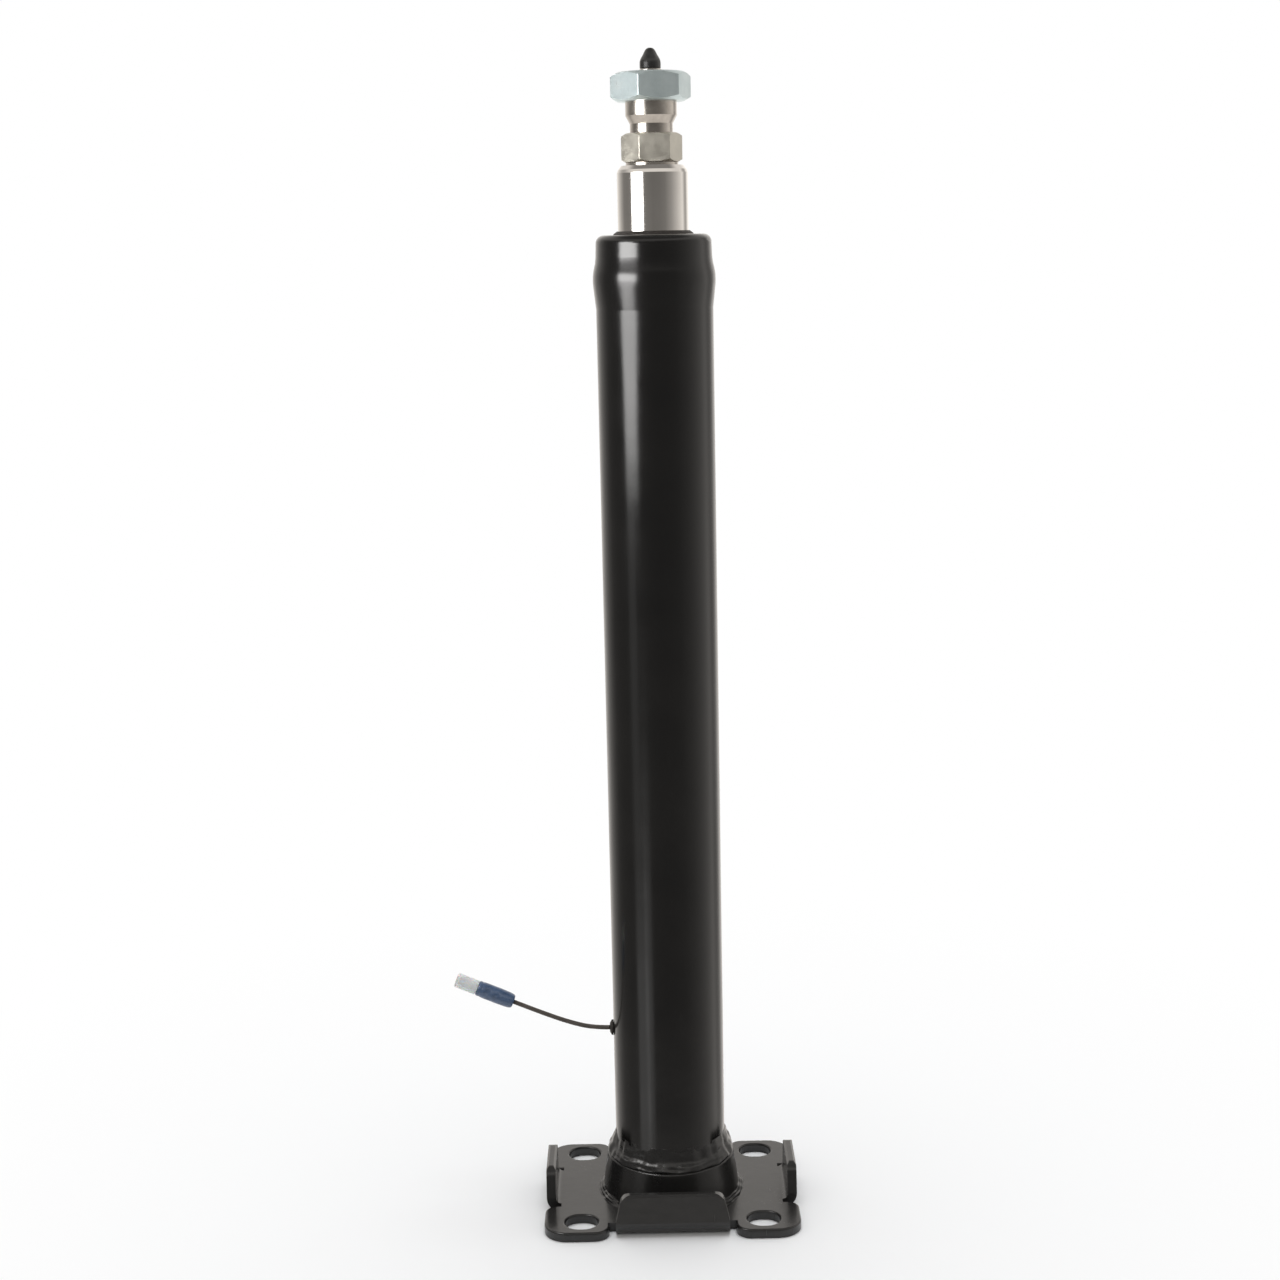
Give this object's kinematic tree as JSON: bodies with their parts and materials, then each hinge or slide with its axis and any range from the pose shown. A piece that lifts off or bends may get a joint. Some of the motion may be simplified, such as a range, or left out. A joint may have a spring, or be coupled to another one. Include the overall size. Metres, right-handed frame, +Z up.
{
  "type": "telescopic hydraulic cylinder",
  "caption": "Upright telescopic hydraulic strut cylinder: black tube on a slotted four-lug foot, chromed plunger with hexagon, nut and cap on top, short electric lead.",
  "frame": {"origin": "on the barrel's axis at the foot's underside", "axes": "+Z up along the barrel towards the plunger's stud, X along the foot's longer side, with the lead leaving towards -X"},
  "size_m": [0.1855, 0.109, 0.616],
  "materials": {
    "black_paint": "gloss black stoved paint",
    "chrome": "polished hard chrome",
    "plug_steel": "turned steel, faint yellow passivation",
    "zinc": "bright zinc plating",
    "steel": "turned steel",
    "soft_iron": "turned soft iron",
    "aluminium": "turned",
    "bronze": "sintered bronze",
    "copper": "copper",
    "tinned": "tinned brass",
    "seal_rubber": "moulded",
    "buffer_foam": "microcellular elastomer",
    "slide_band": "bronze-filled fluoropolymer",
    "cap_plastic": "moulded",
    "lead_sheath": "extruded",
    "boot_blue": "moulded",
    "sleeve_clear": "clear nylon"
  },
  "bodies": {
    "barrel": {"barrel_tube": "black_paint", "foot_plate": "black_paint", "base_collar": "black_paint", "base_weld": "black_paint", "foot_weld": "black_paint", "base_plug": "steel", "gland": "aluminium", "gland_o_ring": "seal_rubber", "upper_bush": "bronze", "plunger_seal": "seal_rubber", "wiper_seal": "seal_rubber", "piston_rod": "chrome", "rod_nut": "zinc", "rod_seal_washer": "copper", "bump_seat": "steel", "bump_stop": "buffer_foam", "rebound_stop": "seal_rubber", "piston_core": "soft_iron", "piston_coil": "copper", "piston_ring": "soft_iron", "piston_band": "slide_band", "piston_nut": "zinc", "piston_plate_lower": "aluminium", "piston_plate_upper": "aluminium", "lead_grommet": "seal_rubber", "inner_lead": "lead_sheath", "lead_wire": "lead_sheath", "connector_boot": "boot_blue", "connector_sleeve": "sleeve_clear", "connector_terminal": "tinned"},
    "guide_ring": {"guide_ring": "slide_band"},
    "plunger": {"plunger_tube": "chrome", "guide_carrier": "steel", "rod_guide": "aluminium", "rod_bush": "bronze", "rod_seal": "seal_rubber", "rod_guide_o_ring": "seal_rubber", "rod_guide_clip": "steel", "end_plug": "plug_steel", "end_plug_o_ring": "seal_rubber", "top_nut": "zinc", "gas_valve": "tinned", "valve_cap": "cap_plastic"},
    "gas_piston": {"gas_piston": "aluminium", "gas_piston_band": "slide_band", "gas_piston_o_ring": "seal_rubber"}
  },
  "joints": [
    {"name": "plunger_slide", "type": "slide", "parent": "barrel", "child": "guide_ring", "axis": [0, 0, 1], "range_m": [0, 0.15]},
    {"name": "plunger_turn", "type": "hinge", "parent": "guide_ring", "child": "plunger", "pos_m": [0, 0, 0.3], "axis": [0, 0, 1], "continuous": true},
    {"name": "gas_piston_slide", "type": "slide", "parent": "plunger", "child": "gas_piston", "axis": [0, 0, 1], "range_m": [-0.032, 0]}
  ],
  "couplings": [
    {"joint": "gas_piston_slide", "follows": "plunger_slide", "ratio": -0.204}
  ]
}
